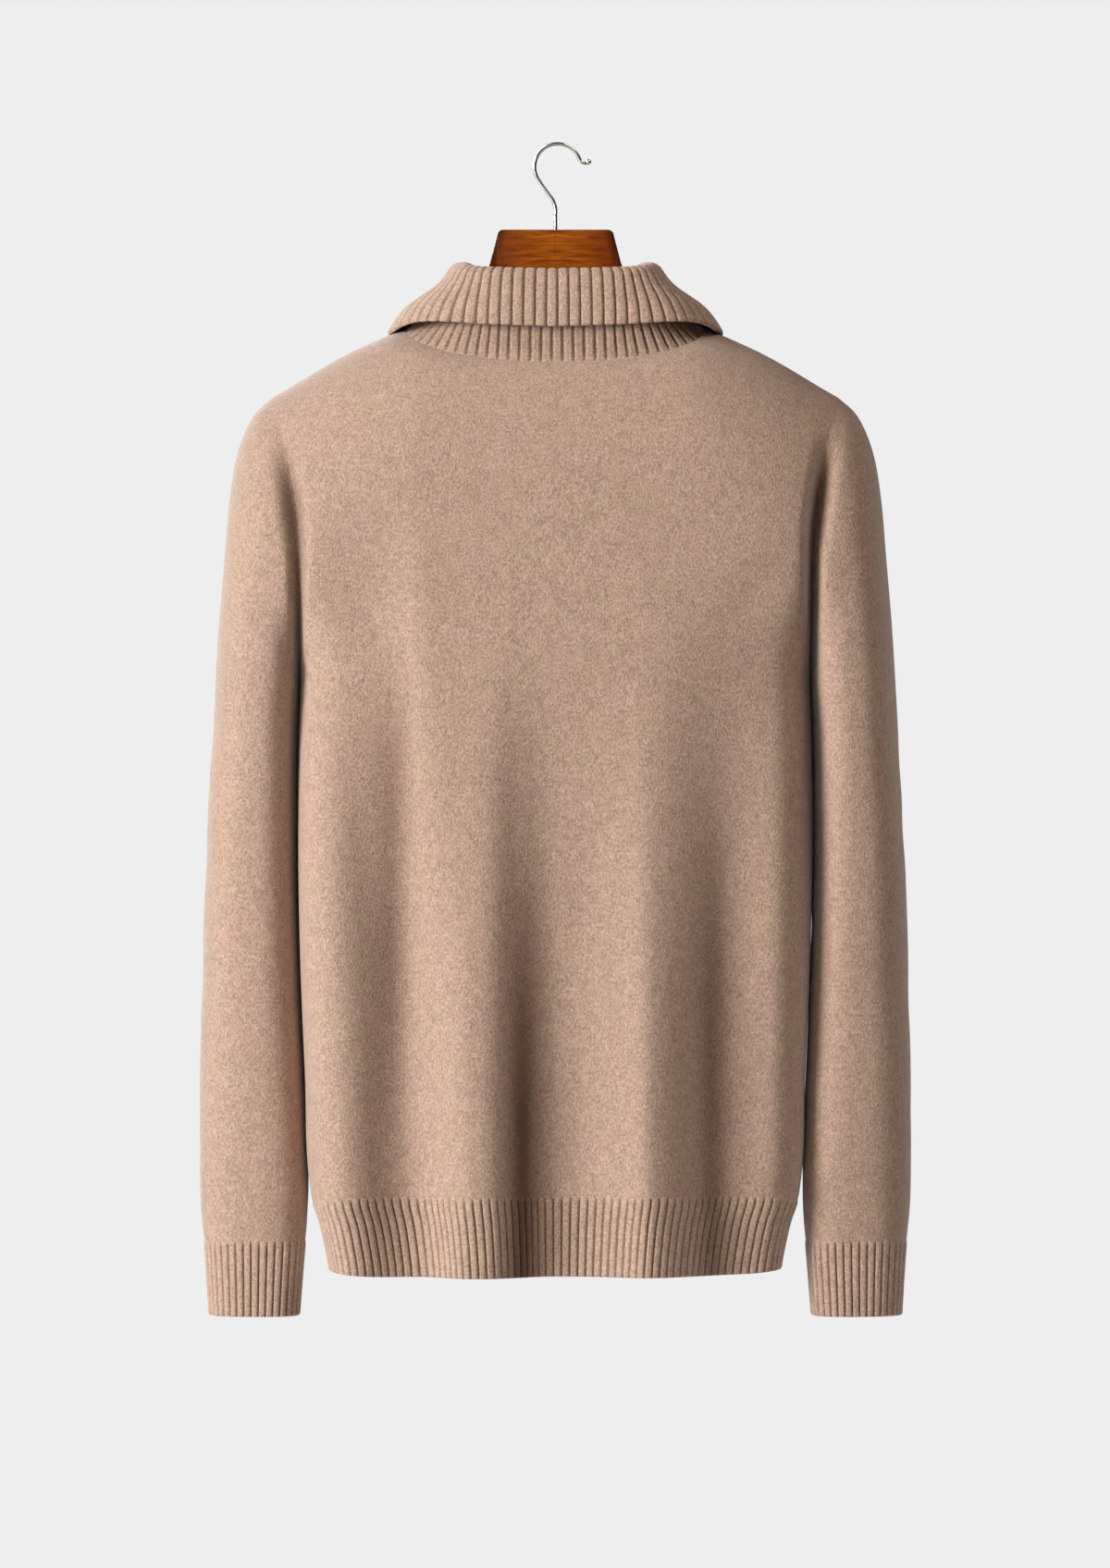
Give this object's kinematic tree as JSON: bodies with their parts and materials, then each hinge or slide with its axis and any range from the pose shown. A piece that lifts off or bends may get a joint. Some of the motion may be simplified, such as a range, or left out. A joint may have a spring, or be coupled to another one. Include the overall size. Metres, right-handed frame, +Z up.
{
  "type": "funnel neck cardigan on a wooden hanger",
  "caption": "Fulled wool cardigan with a ribbed funnel collar folded outward, ribbed hem, cuffs and front bands, buttoned and hung on a varnished wooden hanger with a wire hook.",
  "frame": {"origin": "the inside top of the hook's loop, where a rod carries the hanger, on the stem's axis", "axes": "+Z up, the front of the garment faces -Y and its back faces +Y, +X is the wearer's left"},
  "size_m": [0.5084, 0.2005, 0.8371],
  "materials": {
    "wool_knit": "fulled heather wool with a short soft nap",
    "wool_rib": "ribbed heather wool",
    "horn_button": "polished dark horn",
    "varnished_wood": "glossy red-brown varnish",
    "steel_wire": "plated steel wire"
  },
  "bodies": {
    "root": {"back": "wool_knit", "front_left": "wool_knit", "front_right": "wool_knit", "sleeve_left": "wool_knit", "sleeve_right": "wool_knit", "hem_back": "wool_rib", "hem_front_left": "wool_rib", "hem_front_right": "wool_rib", "cuff_left": "wool_rib", "cuff_right": "wool_rib", "collar": "wool_rib", "band_left": "wool_rib", "band_right": "wool_rib", "button_1": "horn_button", "button_2": "horn_button", "button_3": "horn_button", "button_4": "horn_button", "button_5": "horn_button", "button_6": "horn_button", "hanger_left": "varnished_wood", "hanger_right": "varnished_wood", "hook": "steel_wire"}
  },
  "joints": []
}
